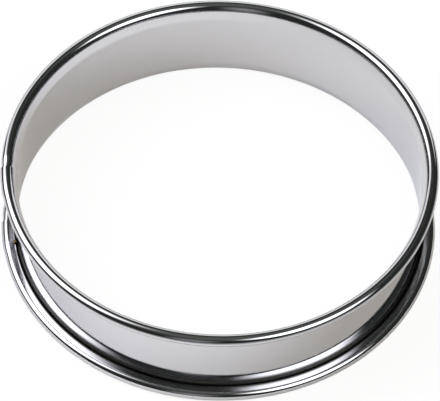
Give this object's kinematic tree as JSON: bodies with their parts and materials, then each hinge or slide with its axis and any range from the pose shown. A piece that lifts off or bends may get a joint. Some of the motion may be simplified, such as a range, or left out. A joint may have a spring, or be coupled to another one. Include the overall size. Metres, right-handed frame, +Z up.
{
  "type": "cake ring",
  "caption": "Open round cake ring of polished steel sheet, its edges rolled outward into hollow curls and its ends lapped and welded in one seam.",
  "frame": {"origin": "on the ring's axis, on the plane that its lower rolled edge stands on", "axes": "+Z up along the ring's axis; the lapped seam is at -X, and -Y faces the camera of the picture"},
  "size_m": [0.1079, 0.1077, 0.0248],
  "materials": {
    "polished_steel": "polished",
    "weld_steel": "heat-tinted"
  },
  "bodies": {
    "root": {"rolled_strip": "polished_steel", "spot_weld_upper": "weld_steel", "spot_weld_middle": "weld_steel", "spot_weld_lower": "weld_steel", "upper_seam_tack": "weld_steel", "lower_seam_tack": "weld_steel"}
  },
  "joints": []
}
